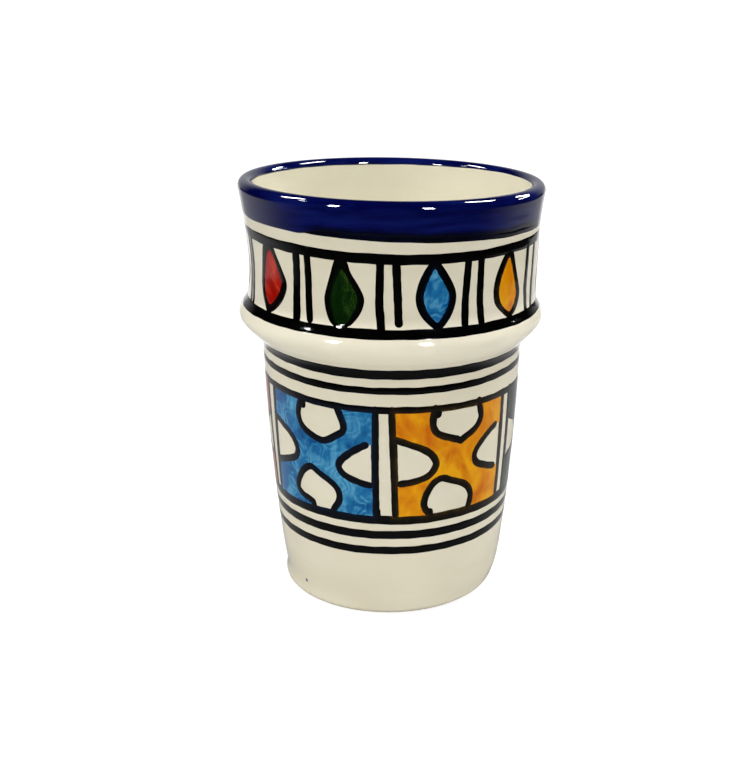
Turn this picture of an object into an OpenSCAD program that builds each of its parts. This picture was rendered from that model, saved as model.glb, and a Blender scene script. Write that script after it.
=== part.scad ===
// Hand-painted earthenware cup without a handle: a thrown clay body, its ivory glaze inside and out,
// a cobalt coat over the lip, and painted bands, drops and panels.
// The cup stands on z = 0 with its axis on Z, and azimuth 0 is the front, towards -Y. Millimetres.

/* [Thrown form, measured on the finished glaze] */
// Diameter of the lip
rim_d = 85; // [80:0.1:92]
// Diameter of the wall where it meets the foot's rounding
foot_d = 63; // [54:0.5:68]
// Height of the tapered wall, from the table to the start of the belt
wall_h = 72.5; // [62:0.5:90]
// How far the top of the tapered wall, under the belt, lies inside the lip
neck_inset = 5.4; // [4.5:0.1:8]
// How far the tapered wall bows outwards of a straight line
wall_bow_depth = 1; // [0:0.1:3]
// Height of the belt's underside, from the wall to its crest
belt_rise = 9.5; // [6:0.1:14]
// How far the belt's crest stands out past the lip
belt_proud = 0.7; // [-1:0.1:4]
// Height of the belt's shoulder, from its crest to the collar
belt_fall = 5.5; // [4:0.1:9]
// How far the collar's base, on top of the belt, lies inside the lip
collar_inset = 1.7; // [0.5:0.1:3]
// Height of the collar, from the belt to the top of the lip
collar_h = 31.5; // [29:0.1:44]
// How far the collar bows inwards of a straight line
collar_bow_depth = 0.8; // [0:0.1:2]
// Thickness of the glazed wall
wall = 4; // [3:0.1:5.5]
// Thickness of the glazed floor, from the table up
floor_t = 6.5; // [5:0.1:10]
// Radius where the inside wall turns into the floor
floor_round = 9; // [4:0.5:14]

/* [Foot] */
// Radius of the foot's outer edge
foot_round = 2; // [1.2:0.1:4]
// Width of the bare ring that the cup stands on
foot_ring = 5; // [3:0.1:9]
// Depth of the trimmed hollow inside the foot ring
foot_hollow = 1.2; // [0.5:0.1:2.5]

/* [Coats] */
// Thickness of the ivory glaze
glaze_t = 0.4; // [0.25:0.05:0.8]
// Thickness of the paint on the glaze
paint_t = 0.2; // [0.12:0.01:0.35]

/* [Lip coat] */
// How far the cobalt coat comes down the outside, from the top of the lip
lip_outside = 7.8; // [5:0.1:12]
// How far the cobalt coat comes down the inside, from the top of the lip
lip_inside = 2.4; // [2.4:0.1:6]
// Width of the black line along the cobalt coat's lower edge
lip_line = 2.3; // [1:0.1:4]

/* [Collar bands] */
// Bare ivory between the lip's black line and the collar's top line
collar_gap = 2.6; // [1:0.1:5]
// Width of the collar's top line
collar_line = 2.7; // [1:0.1:4]
// How far the belt line's upper edge lies below the collar, on the belt's shoulder
belt_line_drop = 0.9; // [0:0.1:2]
// Width of the belt line
belt_line = 2.4; // [1:0.1:3.5]

/* [Drops and bars] */
// Width of a drop over its outline
drop_w = 10.6; // [7:0.1:12]
// Width of the drops' black outline
drop_line = 1.9; // [1:0.1:2.6]
// How far a drop's coloured heart stays clear of the collar's top line
heart_top = 1.5; // [1:0.1:5]
// How far a drop's coloured heart stays clear of the belt line
heart_foot = 2.1; // [1:0.1:4]
// Where a drop is widest: 1 at half its height, more is lower
drop_sag = 1.15; // [1:0.05:1.6]
// Width of a bar
bar_w = 1.8; // [0.8:0.1:2.4]
// Clear ivory between the two bars of a pair
bar_gap = 2.6; // [1.5:0.1:3.5]

/* [Wall bands] */
// How far the first neck line rises onto the belt's underside
neck_lift = 2.2; // [0:0.1:3]
// Width of the first neck line
neck_line_1 = 2.5; // [1:0.1:3.5]
// Ivory between the two neck lines
neck_gap = 2.3; // [1:0.1:4]
// Width of the second neck line
neck_line_2 = 1.9; // [1:0.1:3.5]
// Ivory between the neck lines and the panel frame
frame_gap = 3.6; // [1:0.1:5]
// Width of the panel frame's top line
frame_top = 1.9; // [1:0.1:3.5]
// Height of the panels
panel_h = 30.4; // [27:0.1:34]
// Width of the panel frame's base line
frame_base = 2.5; // [1:0.1:3.5]
// Ivory between the panel frame and the first hem line
hem_gap_1 = 2.2; // [1:0.1:4]
// Width of the first hem line
hem_line_1 = 2.3; // [1:0.1:3.5]
// Ivory between the two hem lines
hem_gap_2 = 2.8; // [1:0.1:4]
// Width of the second hem line
hem_line_2 = 2.1; // [1:0.1:3.5]

/* [Panels] */
// Width of the ivory strip between two panels
strip_w = 2.9; // [2:0.1:4]
// Width of the black uprights beside a strip
upright_w = 1.8; // [1:0.1:2.4]
// Width of the lobes at a panel's top and base, over their outline
lobe_w = 16.6; // [12:0.1:17]
// Depth of the lobes at a panel's top and base, over their outline
lobe_d = 11.2; // [9:0.1:12]
// Height of the lobes at a panel's sides, over their outline
side_lobe_h = 13.8; // [10:0.1:14]
// Depth of the lobes at a panel's sides, over their outline
side_lobe_d = 11.4; // [8:0.1:11.5]
// Width of the lobes' black outline
lobe_line = 1.9; // [1:0.1:2.6]

/* [Hidden] */
$fn = 96;

// Colours of the drops in turn, from the first one left of the front, and that drop's azimuth
drop_colours = [
    "red", "green", "blue", "yellow", "red", "green", "blue", "yellow", "green", "blue", "yellow"
];
first_drop_angle = -50.6;
// Panels in turn, from the strip beside the front: each one's colour and the degrees it spans,
// strip to strip, as the painter spaced them by eye
panels = [["yellow", 63], ["green", 58], ["blue", 58], ["yellow", 59], ["red", 58], ["blue", 64]];
first_strip_angle = -3.5;

// Colours of the fired clay, the glaze and the paints
clay = "#c99d78";
ivory = "#ded8c4";
cobalt = "#0b1060";
black = "#141414";
paint_names = ["red", "green", "blue", "yellow"];
paint_colours = ["#a82818", "#14400f", "#2e74a8", "#d8901a"];
function paint_colour(name) = paint_colours[search([name], paint_names)[0]];

// Diameters of the form, which follow the lip's
neck_d = rim_d - 2 * neck_inset;
belt_d = rim_d + 2 * belt_proud;
collar_d = rim_d - 2 * collar_inset;

// Heights of the form
belt_crest_z = wall_h + belt_rise;
belt_top_z = belt_crest_z + belt_fall;
top_z = belt_top_z + collar_h;
lip_r = wall / 2;
lip_z = top_z - lip_r;

// Heights of the bands' upper and lower edges, counted down from the lip and down from the belt
lip_coat_z = top_z - lip_outside;
lip_line_z = lip_coat_z - lip_line;
collar_line_top = lip_line_z - collar_gap;
collar_line_z = collar_line_top - collar_line;
belt_line_top = belt_top_z - belt_line_drop;
belt_line_z = belt_line_top - belt_line;
neck_1_top = wall_h + neck_lift;
neck_1_z = neck_1_top - neck_line_1;
neck_2_top = neck_1_z - neck_gap;
neck_2_z = neck_2_top - neck_line_2;
frame_top_top = neck_2_z - frame_gap;
frame_top_z = frame_top_top - frame_top;
panel_base_z = frame_top_z - panel_h;
frame_base_z = panel_base_z - frame_base;
hem_1_top = frame_base_z - hem_gap_1;
hem_1_z = hem_1_top - hem_line_1;
hem_2_top = hem_1_z - hem_gap_2;
hem_2_z = hem_2_top - hem_line_2;

// Outside of the glaze as radius by height. The wall and the collar are shallow bows,
// and the belt is an ogee moulding that rises and falls as half waves.
function mix(a, b, t) = a + (b - a) * t;
function bow(t) = 4 * t * (1 - t);
function wave(t) = (1 - cos(180 * t)) / 2;
function wall_r(z) = let (t = z / wall_h) mix(foot_d, neck_d, t) / 2 + wall_bow_depth * bow(t);
function collar_r(z) = let (t = (z - belt_top_z) / (lip_z - belt_top_z))
    mix(collar_d, rim_d, t) / 2 - collar_bow_depth * bow(t);
function outside_r(z) =
    z <= wall_h ? wall_r(z) :
    z <= belt_crest_z ? mix(neck_d, belt_d, wave((z - wall_h) / belt_rise)) / 2 :
    z <= belt_top_z ? mix(belt_d, collar_d, wave((z - belt_crest_z) / belt_fall)) / 2 :
    collar_r(z);

// Inside of the glaze: one wall thickness behind the outside, passing straight behind the belt
function inside_r(z) = -wall + (
    z <= wall_h ? wall_r(z) :
    z <= belt_top_z ? mix(neck_d, collar_d, wave((z - wall_h) / (belt_top_z - wall_h))) / 2 :
    collar_r(z));

// Heights at which the curves are drawn. Every coat is drawn through these, so that the coats meet.
function steps(low, high, n) = [for (i = [0 : n - 1]) mix(low, high, i / n)];
wall_steps = 14;
rise_steps = 10;
fall_steps = 8;
collar_steps = 9;
round_steps = 8;
outside_z = concat(
    steps(foot_round, wall_h, wall_steps),
    steps(wall_h, belt_crest_z, rise_steps),
    steps(belt_crest_z, belt_top_z, fall_steps),
    steps(belt_top_z, lip_z, collar_steps),
    [lip_z]);
inside_z = concat(
    steps(floor_t + floor_round, wall_h, wall_steps),
    steps(wall_h, belt_top_z, rise_steps),
    steps(belt_top_z, lip_z, collar_steps),
    [lip_z]);
outside_table = [for (z = outside_z) [z, outside_r(z)]];
inside_table = [for (z = inside_z) [z, inside_r(z)]];
function between(list, low, high) = concat([low], [for (z = list) if (z > low && z < high) z], [high]);
function reversed(list) = [for (i = [len(list) - 1 : -1 : 0]) list[i]];
function arc(centre, r, from, to) = [for (i = [0 : round_steps])
    let (a = mix(from, to, i / round_steps)) centre + r * [cos(a), sin(a)]];

// Stretches of the cup's section, each moved outwards from the glaze's surface by d
function outside_path(low, high, d) =
    [for (z = between(outside_z, low, high)) [lookup(z, outside_table) + d, z]];
function inside_path(low, high, d) =
    [for (z = between(inside_z, low, high)) [lookup(z, inside_table) - d, z]];
lip_centre = [rim_d / 2 - lip_r, lip_z];
function lip_arc(d, from, to) = arc(lip_centre, lip_r + d, from, to);
foot_centre = [outside_r(foot_round) - foot_round, foot_round];
function foot_arc(d, from) = arc(foot_centre, foot_round + d, from, 0);
floor_centre = [inside_r(floor_t + floor_round) - floor_round, floor_t + floor_round];
function floor_path(d) = concat([[0, floor_t + d]], arc(floor_centre, floor_round - d, -90, 0));

// The glaze stops part of the way round the foot's edge, where it is wiped off before firing
wiped_angle = -60;
ring_r = foot_centre[0] - foot_ring;

module turned(points) rotate_extrude() polygon(points);

// A coat between the glaze's surface and a distance above it, over a stretch of the outside
module outside_coat(low, high, thick) turned(concat(
    outside_path(low, high, 0),
    reversed(outside_path(low, high, thick))));

module painted_band(high, low) color(black) outside_coat(low, high, paint_t);

// A flat shape, drawn with x to the right and y up, pushed outwards through the wall at an azimuth,
// from a radius inside the cup where shapes at other azimuths are still clear of it
wall_reach = foot_d / 3;
module through_wall(azimuth) rotate([0, 0, azimuth]) rotate([90, 0, 0])
    translate([0, 0, wall_reach]) linear_extrude(belt_d / 2) children();

// Fired earthenware: wall, belt, lip and floor thrown in one piece, with a trimmed foot
module clay_body() color(clay) turned(concat(
    [[0, foot_hollow], [ring_r - foot_hollow, foot_hollow], [ring_r, 0], [foot_centre[0], 0]],
    foot_arc(-glaze_t, -90),
    outside_path(foot_round, lip_z, -glaze_t),
    lip_arc(-glaze_t, 0, 180),
    reversed(inside_path(floor_t + floor_round, lip_z, -glaze_t)),
    reversed(floor_path(-glaze_t))));

module outer_glaze() color(ivory) turned(concat(
    foot_arc(0, wiped_angle),
    outside_path(foot_round, lip_z, 0),
    lip_arc(0, 0, 90),
    reversed(lip_arc(-glaze_t, 0, 90)),
    reversed(outside_path(foot_round, lip_z, -glaze_t)),
    reversed(foot_arc(-glaze_t, wiped_angle))));

module inner_glaze() color(ivory) turned(concat(
    floor_path(0),
    inside_path(floor_t + floor_round, lip_z, 0),
    lip_arc(0, 180, 90),
    reversed(lip_arc(-glaze_t, 180, 90)),
    reversed(inside_path(floor_t + floor_round, lip_z, -glaze_t)),
    reversed(floor_path(-glaze_t))));

// Cobalt coat over the lip, from the outside to just inside the mouth
module cobalt_lip() color(cobalt) turned(concat(
    outside_path(lip_coat_z, lip_z, paint_t),
    lip_arc(paint_t, 0, 180),
    reversed(inside_path(top_z - lip_inside, lip_z, paint_t)),
    inside_path(top_z - lip_inside, lip_z, 0),
    lip_arc(0, 180, 0),
    reversed(outside_path(lip_coat_z, lip_z, 0))));

module lip_line() painted_band(lip_coat_z, lip_line_z);
module collar_line() painted_band(collar_line_top, collar_line_z);
module belt_line() painted_band(belt_line_top, belt_line_z);
module neck_line_upper() painted_band(neck_1_top, neck_1_z);
module neck_line_lower() painted_band(neck_2_top, neck_2_z);
module frame_line_top() painted_band(frame_top_top, frame_top_z);
module frame_line_base() painted_band(panel_base_z, frame_base_z);
module hem_line_upper() painted_band(hem_1_top, hem_1_z);
module hem_line_lower() painted_band(hem_2_top, hem_2_z);

// Drops and bars fill the collar between its top line and the belt line
drop_turn = 360 / len(drop_colours);
function drop_azimuth(i) = first_drop_angle + i * drop_turn;
drop_steps = 14;
module collar_coat() outside_coat(belt_line_top, collar_line_z, paint_t);

// A drop pointed at both ends, between two heights
module drop_shape(width, low, high) {
    side = [for (i = [0 : drop_steps]) let (t = i / drop_steps)
        [width / 2 * sin(180 * pow(t, drop_sag)), mix(high, low, t)]];
    polygon(concat(side, [for (i = [drop_steps - 1 : -1 : 1]) [-side[i][0], side[i][1]]]));
}

module drop_heart()
    drop_shape(drop_w - 2 * drop_line, belt_line_top + heart_foot, collar_line_z - heart_top);

// The outline's points run on under the lines above and below it, where the coat cuts them off
module drop_outlines() color(black) intersection() {
    collar_coat();
    for (i = [0 : len(drop_colours) - 1]) through_wall(drop_azimuth(i)) difference() {
        drop_shape(drop_w, belt_line_top - drop_line / 2, collar_line_z + 2 * drop_line);
        drop_heart();
    }
}

module drops(colour) color(paint_colour(colour)) intersection() {
    collar_coat();
    for (i = [0 : len(drop_colours) - 1]) if (drop_colours[i] == colour)
        through_wall(drop_azimuth(i)) drop_heart();
}

module collar_bars() color(black) intersection() {
    collar_coat();
    for (i = [0 : len(drop_colours) - 1], side = [-1, 1])
        through_wall(drop_azimuth(i) + drop_turn / 2)
            translate([side * (bar_gap + bar_w) / 2 - bar_w / 2, 0]) square([bar_w, top_z]);
}

// Panels fill the wall between the frame's top and base lines
panel_spans = [for (p = panels) p[1]];
function sum_to(list, n) = n == 0 ? 0 : list[n - 1] + sum_to(list, n - 1);
function strip_azimuth(i) = first_strip_angle + sum_to(panel_spans, i);
function panel_azimuth(i) = strip_azimuth(i) + panel_spans[i] / 2;
frame_w = strip_w + 2 * upright_w;
panel_mid_z = panel_base_z + panel_h / 2;
module panel_coat() outside_coat(panel_base_z, frame_top_z, paint_t);

module upright_shapes() for (side = [-1, 1])
    translate([side * (strip_w + upright_w) / 2 - upright_w / 2, 0]) square([upright_w, top_z]);
module frame_shape() translate([-frame_w / 2, 0]) square([frame_w, top_z]);

// A lobe grows from an edge along +y: straight sides and a round end
module lobe_shape(width, depth) {
    r = width / 2;
    translate([-r, -r]) square([width, depth]);
    translate([0, depth - r]) circle(r);
}
module lobe_ring(width, depth) difference() {
    lobe_shape(width, depth);
    lobe_shape(width - 2 * lobe_line, depth - lobe_line);
}

// The four lobes of panel i, drawn as solid shapes or as their outlines
module lobe(width, depth, solid) if (solid) lobe_shape(width, depth); else lobe_ring(width, depth);
module lobes(i, solid) {
    through_wall(panel_azimuth(i)) {
        translate([0, frame_top_z]) rotate(180) lobe(lobe_w, lobe_d, solid);
        translate([0, panel_base_z]) lobe(lobe_w, lobe_d, solid);
    }
    for (side = [0, 1]) through_wall(strip_azimuth(i + side))
        translate([(1 - 2 * side) * frame_w / 2, panel_mid_z])
            rotate(180 * side - 90) lobe(side_lobe_h, side_lobe_d, solid);
}

// The part of the coat that belongs to panel i, between the uprights on its two sides
module panel_field(i) difference() {
    intersection() {
        panel_coat();
        rotate([0, 0, strip_azimuth(i) - 90]) rotate_extrude(angle = panel_spans[i])
            translate([foot_d / 4, 0]) square([belt_d, top_z]);
    }
    for (k = [i, i + 1]) through_wall(strip_azimuth(k)) frame_shape();
}

module panel_uprights() color(black) intersection() {
    panel_coat();
    for (i = [0 : len(panels) - 1]) through_wall(strip_azimuth(i)) upright_shapes();
}

module lobe_outlines() color(black) for (i = [0 : len(panels) - 1]) intersection() {
    panel_field(i);
    lobes(i, false);
}

module painted_panels(colour) color(paint_colour(colour))
    for (i = [0 : len(panels) - 1]) if (panels[i][0] == colour) difference() {
        panel_field(i);
        lobes(i, true);
    }

clay_body();
inner_glaze();
outer_glaze();
cobalt_lip();
lip_line();
collar_line();
belt_line();
neck_line_upper();
neck_line_lower();
frame_line_top();
frame_line_base();
hem_line_upper();
hem_line_lower();
drop_outlines();
drops("red");  // red_drops
drops("green");  // green_drops
drops("blue");  // blue_drops
drops("yellow");  // yellow_drops
collar_bars();
panel_uprights();
lobe_outlines();
painted_panels("red");  // red_panels
painted_panels("green");  // green_panels
painted_panels("blue");  // blue_panels
painted_panels("yellow");  // yellow_panels
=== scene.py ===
"""A handleless pottery cup in ivory glaze, with a cobalt lip and painted bands, drops and panels.

Run as a script in Blender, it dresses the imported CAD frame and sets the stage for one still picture.
Lengths in the code are millimetres unless a property's unit says otherwise; azimuth 0 faces the camera.
"""

import math
import random

import bmesh
import bpy
import numpy as np
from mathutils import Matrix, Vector
from mathutils.geometry import delaunay_2d_cdt


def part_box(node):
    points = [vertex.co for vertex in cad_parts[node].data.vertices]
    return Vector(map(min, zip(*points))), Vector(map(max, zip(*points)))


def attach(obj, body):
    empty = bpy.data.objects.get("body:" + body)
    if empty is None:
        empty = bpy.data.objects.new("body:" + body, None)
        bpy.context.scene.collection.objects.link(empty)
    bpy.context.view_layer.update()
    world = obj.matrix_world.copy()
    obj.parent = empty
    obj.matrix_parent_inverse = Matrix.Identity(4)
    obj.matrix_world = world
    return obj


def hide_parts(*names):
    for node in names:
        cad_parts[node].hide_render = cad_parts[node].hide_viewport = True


bl_info = {
    "name": "Painted pottery cup",
    "version": (1, 0, 0),
    "blender": (4, 5, 0),
    "location": "View3D > Sidebar > Cup",
    "description": "Glazes and paints a handleless pottery cup around its CAD frame",
    "category": "Add Mesh",
}

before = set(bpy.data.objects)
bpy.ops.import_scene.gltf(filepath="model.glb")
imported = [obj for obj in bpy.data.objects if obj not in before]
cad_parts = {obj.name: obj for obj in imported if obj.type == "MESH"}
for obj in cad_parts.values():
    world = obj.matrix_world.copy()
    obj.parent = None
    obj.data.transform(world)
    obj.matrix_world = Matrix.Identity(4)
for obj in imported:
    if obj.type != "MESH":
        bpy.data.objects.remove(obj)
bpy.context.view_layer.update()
MM = 0.001
TURN = 2 * math.pi

# Picture frame that the camera is set for
FRAME_W, FRAME_H = 750, 773
SENSOR = 36.0

# Layout of the decoration, as in the part's source
PANELS = (("yellow", 63), ("green", 58), ("blue", 58), ("yellow", 59), ("red", 58), ("blue", 64))
FIRST_STRIP = -3.5
STRIP_TO_UPRIGHT = 2.35
DROP_COLOURS = (
    "red", "green", "blue", "yellow", "red", "green", "blue", "yellow", "green", "blue", "yellow")
FIRST_DROP = -50.6
WALL_REF = 35.8
COLLAR_REF = 40.4

# How far a painted mark is sunk into the glaze: its underside, its edges, and the edges of the cobalt coat
SUNK = 0.12
EDGE_SUNK = 0.01
COAT_EDGE_SUNK = 0.02
NO_TINT = (0.0, 0.0, 0.0)
# Sections round the cup, places across a mark, and those of them that its underside lies below
AROUND = 400
AZIMUTHS = np.linspace(0, TURN, AROUND, endpoint=False)
ACROSS = np.linspace(-1, 1, 9)
UNDERSIDE = [7, 1]
# Brush strokes: distance between places, waver of the width, and angles of the sections in a round end
BRUSH_GAP = 0.45
STROKE_WAVER = 0.055
ROUND_END = (84, 70, 54, 37, 19)
# Edges sharper than this stay sharp, and points closer than this, in metres, are one
SHARP_ANGLE = math.radians(42)
WELD_GAP = 1e-7


def linear(red, green, blue):
    """A colour given as on-screen values from 0 to 255, as linear light with full alpha."""
    def one(value):
        value /= 255
        return value / 12.92 if value <= 0.04045 else ((value + 0.055) / 1.055) ** 2.4
    return (one(red), one(green), one(blue), 1.0)


def number(name, description, value, **kind):
    return bpy.props.FloatProperty(name=name, description=description, default=value, **kind)


def length(name, description, millimetres):
    return number(name, description, millimetres * MM, precision=5, subtype="DISTANCE", unit="LENGTH")


def angle(name, description, degrees):
    return number(name, description, math.radians(degrees), subtype="ANGLE", unit="ROTATION")


def colour(name, description, *screen):
    return bpy.props.FloatVectorProperty(
        name=name, description=description, default=linear(*screen), size=4, min=0, max=1, subtype="COLOR")


class CupForm(bpy.types.PropertyGroup):
    """How unevenly the cup was thrown."""
    lean: angle("Lip lean", "Tilt of the lip towards the right", 0.96)
    oval: length("Oval", "How far the round is out of true", 0.09)
    ring_depth: length("Throwing rings", "Depth of the rings left by the thrower's fingers", 0.004)
    glaze_t: length("Glaze thickness", "Thickness of the ivory glaze as built", 0.3)


class CupPaint(bpy.types.PropertyGroup):
    """Thickness and colours of glaze and paint."""
    line_t: length("Line thickness", "How far a black line stands off the glaze", 0.08)
    wash_t: length("Wash thickness", "How far a colour wash stands off the glaze", 0.04)
    cobalt_t: length("Cobalt thickness", "How far the cobalt coat stands off the glaze", 0.12)
    stroke_w: length("Stroke width", "Usual width of an outline stroke", 2.35)
    bar_w: length("Bar width", "Usual width of an upright bar on the collar", 2.22)
    ivory: colour("Ivory", "Glaze of the walls", 225, 219, 199)
    ivory_shade: colour("Ivory shade", "Thinner glaze in cloudy patches", 218, 211, 188)
    # Inside ivory: painted light, the same glaze painted paler than the walls to stand in for how the
    # inside is lit
    ivory_inside: colour("Inside ivory", "Glaze of the inside", 235, 230, 208)
    # Belt ivory: painted sheen, paler than the walls to stand in for the light the belt catches
    ivory_belt_lit: colour("Thick ivory", "Glaze where it lies thick on the belt", 240, 234, 213)
    bisque: colour("Bisque", "Bare fired clay of the foot", 196, 170, 138)
    cobalt: colour("Cobalt", "Coat over the lip", 2, 6, 63)
    black: colour("Black", "Lines and outlines", 2, 2, 2)
    red: colour("Red", "Red drops and panels", 156, 14, 2)
    green: colour("Green", "Green drops and panels", 7, 34, 5)
    blue: colour("Blue", "Blue drops and panels", 29, 107, 158)
    yellow: colour("Yellow", "Yellow drops and panels", 212, 132, 0)


class CupStage(bpy.types.PropertyGroup):
    """Camera, floor and light."""
    distance: length("Camera distance", "From the camera to its aim on the cup's axis", 345)
    aim_height: length("Aim height", "Height of the aim above the floor", 57.76)
    elevation: angle("Camera elevation", "Angle above the horizon", 18.5)
    focal_px: number("Focal length", "Focal length in pixels of the picture", 1174.2)
    cup_x: number("Cup place", "Pixel column of the cup's axis", 391.7)
    dome: number("Dome light", "Strength of the even studio light", 0.565)
    lamp: number("Lamp light", "Power of each small lamp", 1.75, subtype="POWER", unit="POWER")
    glint: number("Glint light", "Watts per square metre of the panes that only the gloss shows", 260.0)
    floor_tone: colour("Floor", "Pale floor", 236, 236, 234)
    floor_glow: number("Floor white", "How much the floor is lifted towards white for the camera", 0.72)
    floor_gloss: number("Floor gloss", "Brightness of the floor as the glaze reflects it", 0.5)


def settings():
    return bpy.context.scene.cup_form, bpy.context.scene.cup_paint, bpy.context.scene.cup_stage


# Form of the cup, read from the frame

def heights(node):
    """Lowest and highest point of a CAD node."""
    low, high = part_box(node)
    return low.z / MM, high.z / MM


def node_points(node):
    """Points of a CAD node's mesh."""
    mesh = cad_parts[node].data
    co = np.empty(len(mesh.vertices) * 3)
    mesh.vertices.foreach_get("co", co)
    return co.reshape(-1, 3) / MM


def ring_levels(node, pick):
    """Heights of a turned node's rings, and the largest or smallest radius at each."""
    co = node_points(node)
    levels, where = np.unique(np.round(co[:, 2], 2), return_inverse=True)
    radii = np.full(len(levels), -1e9 if pick is np.maximum else 1e9)
    pick.at(radii, where, np.hypot(co[:, 0], co[:, 1]))
    return levels, radii


def smooth_curve(xs, ys):
    """A smooth function through the points."""
    slopes = np.gradient(ys, xs)

    def at(x):
        x = np.asarray(x, float)
        k = np.clip(np.searchsorted(xs, x) - 1, 0, len(xs) - 2)
        gap = xs[k + 1] - xs[k]
        t = np.clip((x - xs[k]) / gap, 0, 1)
        rise = ys[k] * (1 + 2 * t) * (1 - t) ** 2 + ys[k + 1] * t * t * (3 - 2 * t)
        return rise + gap * t * (1 - t) * (slopes[k] * (1 - t) - slopes[k + 1] * t)
    return at


class Form:
    """Radii and heights that every coat and mark of the cup shares."""

    def __init__(self):
        z, r = ring_levels("outer_glaze", np.maximum)
        self.top = z[-1]
        self.lip_c = r[-1]
        low = z < self.top / 2
        true_skin = ~low | (r >= np.maximum.accumulate(r) - 1e-3)
        rim_level = np.argmax(np.where(z > self.top * 0.93, r, 0))
        self.lip_r = r[rim_level] - self.lip_c
        self.lip_z = self.top - self.lip_r
        true_skin &= z <= self.lip_z + 1e-3
        self.glaze_foot = z[0]
        self.wall = smooth_curve(z[true_skin], r[true_skin])
        z, r = ring_levels("inner_glaze", np.minimum)
        self.floor_r = r.min()
        self.floor_z = z[np.flatnonzero(r < self.floor_r + 1e-2)].max()
        rough = (z <= self.lip_z + 1e-3) & (r > self.floor_r + 1)
        self.corner = 5.0
        for _ in range(60):
            self.corner = float(np.interp(self.floor_z + self.corner, z[rough], r[rough])) - self.floor_r
        wall = rough & (z >= self.floor_z + self.corner - 1e-2)
        self.inside = smooth_curve(z[wall], r[wall])
        self.belt_top = heights("belt_line")[1]
        self.belt_low = heights("neck_line_upper")[1]
        self.inside_low = z[wall][0]
        self.foot_out = ring_levels("clay_body", np.maximum)[1][0]
        self.foot_in = ring_levels("clay_body", np.minimum)[1][0]
        co = node_points("clay_body")
        under = co[(np.hypot(co[:, 0], co[:, 1]) < self.foot_in - 1) & (co[:, 2] < self.floor_z / 2)]
        self.hollow = under[:, 2].max() if len(under) else 0.0


form = Form()

# Where the thrown wall strays sideways: height, spread and shift to the right
SWAYS = ((0.0, 3.2, -0.95), (81.0, 5.0, -0.35), (97.0, 9.0, 0.45))
# Where the foot was trimmed and tool marks below the belt: height, spread and how far they stand out
CREASES = ((3.0, 5.0, -0.28), (76.6, 0.6, 0.07), (75.5, 0.5, -0.08))
# Height up to which the round foot turns into the uneven wall
ROUND_UP_TO = 30.0
# How the lean gathers with height, as a power
LEAN_GROWTH = 1.2


def bumps(z, table):
    """Sum of soft bumps, each given by its height, spread and size."""
    return sum(size * np.exp(-((z - height) / spread) ** 2) for height, spread, size in table)


def unevenness(azimuth, z):
    """How far the thrown wall is out of true at a place."""
    cup, _, _ = settings()
    z = np.asarray(z, float)
    grow = np.clip(z / ROUND_UP_TO, 0, 1)
    oval = cup.oval / MM * (np.sin(2 * azimuth + 0.7) + 0.5 * np.sin(3 * azimuth - 1.1))
    rings = cup.ring_depth / MM * (np.sin(2.3 * z + azimuth) + 0.8 * np.sin(1.45 * z + 2.1 - azimuth))
    return grow * (oval + rings) + bumps(z, SWAYS) * np.sin(azimuth) + bumps(z, CREASES)


def place(radius, azimuth, z):
    """Points of the leaning cup, in metres."""
    cup, _, _ = settings()
    x = radius * np.sin(azimuth)
    y = -radius * np.cos(azimuth)
    tilt = np.tan(-cup.lean * np.clip(z / form.top, 0, 2) ** LEAN_GROWTH)
    return np.stack(np.broadcast_arrays(x, y, z + x * tilt), -1) * MM


def on_wall(azimuth, z, lift):
    """Points on the outside, lifted off the glaze."""
    return place(form.wall(z) + unevenness(azimuth, z) + lift, azimuth, z)


def on_inside(azimuth, z, lift):
    """Points on the inside wall, lifted off the glaze."""
    return place(form.inside(z) + unevenness(azimuth, z) - lift, azimuth, z)


def on_lip(azimuth, bend, lift):
    """Points over the round lip, from bend 0 outside to half a turn inside."""
    reach = form.lip_r + lift
    radius = form.lip_c + reach * np.cos(bend) + unevenness(azimuth, form.lip_z)
    return place(radius, azimuth, form.lip_z + reach * np.sin(bend))


# Meshes

def loft(rings, closed):
    """Points and faces of a solid whose sections are closed rings of equal count."""
    count, width, _ = rings.shape
    index = np.arange(count * width).reshape(count, width)
    here = index if closed else index[:-1]
    there = np.roll(index, -1, axis=0) if closed else index[1:]
    quads = np.stack([here, there, np.roll(there, -1, axis=1), np.roll(here, -1, axis=1)], -1)
    faces = quads.reshape(-1, 4).tolist()
    if not closed:
        faces.append(index[0].tolist())
        faces.append(index[-1, ::-1].tolist())
    return rings.reshape(-1, 3), faces


def build(name, node, parts, slot, finish=None, weld=False):
    """One piece from (points, faces, tint) parts, in the place of a CAD node."""
    faces = []
    start = 0
    for part in parts:
        faces += [[start + i for i in face] for face in part[1]]
        start += len(part[0])
    mesh = bpy.data.meshes.new(name)
    mesh.from_pydata(np.concatenate([part[0] for part in parts]).tolist(), [], faces)
    tints = [np.broadcast_to(part[2], (len(part[0]), 3)) for part in parts if len(part) > 2]
    if tints:
        tints = np.concatenate(tints)
        tints = np.column_stack([tints, np.ones(len(tints))]).astype(np.float32)
        layer = mesh.color_attributes.new("tint", "FLOAT_COLOR", "POINT")
        layer.data.foreach_set("color", tints.ravel())
    work = bmesh.new()
    work.from_mesh(mesh)
    if weld:
        bmesh.ops.remove_doubles(work, verts=work.verts, dist=WELD_GAP)
    bmesh.ops.recalc_face_normals(work, faces=work.faces)
    work.to_mesh(mesh)
    work.free()
    mesh.shade_smooth()
    mesh.set_sharp_from_angle(angle=SHARP_ANGLE)
    mesh.materials.append(finish or finish_of(slot))
    piece = bpy.data.objects.new(name, mesh)
    bpy.context.scene.collection.objects.link(piece)
    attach(piece, "root")
    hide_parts(node)


def crown(across):
    """Rounded shoulder of a painted mark, from 0 at its edges to 1 over its middle."""
    return 1 - np.abs(across) ** 4


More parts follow.
